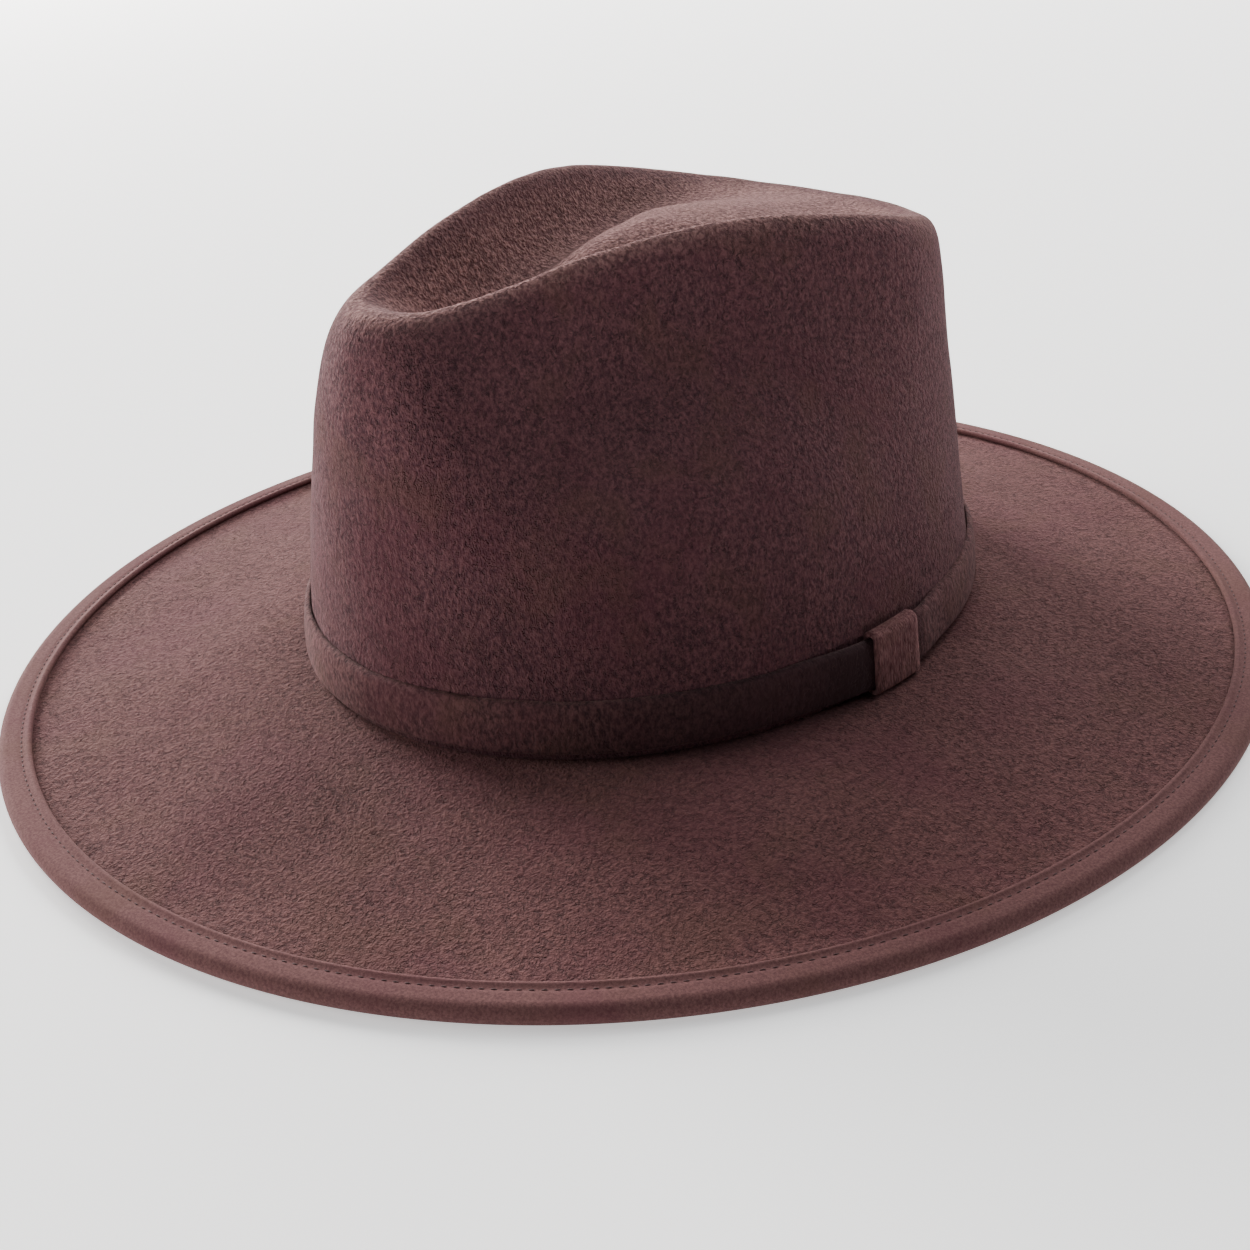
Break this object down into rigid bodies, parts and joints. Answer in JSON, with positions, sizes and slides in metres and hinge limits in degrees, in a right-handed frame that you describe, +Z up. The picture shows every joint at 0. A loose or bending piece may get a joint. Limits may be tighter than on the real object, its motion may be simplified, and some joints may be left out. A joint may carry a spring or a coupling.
{
  "type": "rancher hat",
  "caption": "Wide-brim felt rancher hat with a teardrop crown, a welt-bound brim edge, and a narrow band held by a keeper loop.",
  "frame": {"origin": "centre of the brim's edge, on the surface that the hat rests on", "axes": "+Z up, out of the crown; the front of the hat faces -Y; the wearer's left is +X"},
  "size_m": [0.355, 0.369, 0.1271],
  "materials": {
    "felt": "soft brushed nap, matt",
    "welt": "soft brushed nap, matt, stitched",
    "band": "soft brushed nap, matt, darker",
    "keeper": "soft brushed nap, matt"
  },
  "bodies": {
    "root": {"crown": "felt", "brim": "felt", "brim_welt": "welt", "hat_band": "band", "band_keeper": "keeper"}
  },
  "joints": []
}
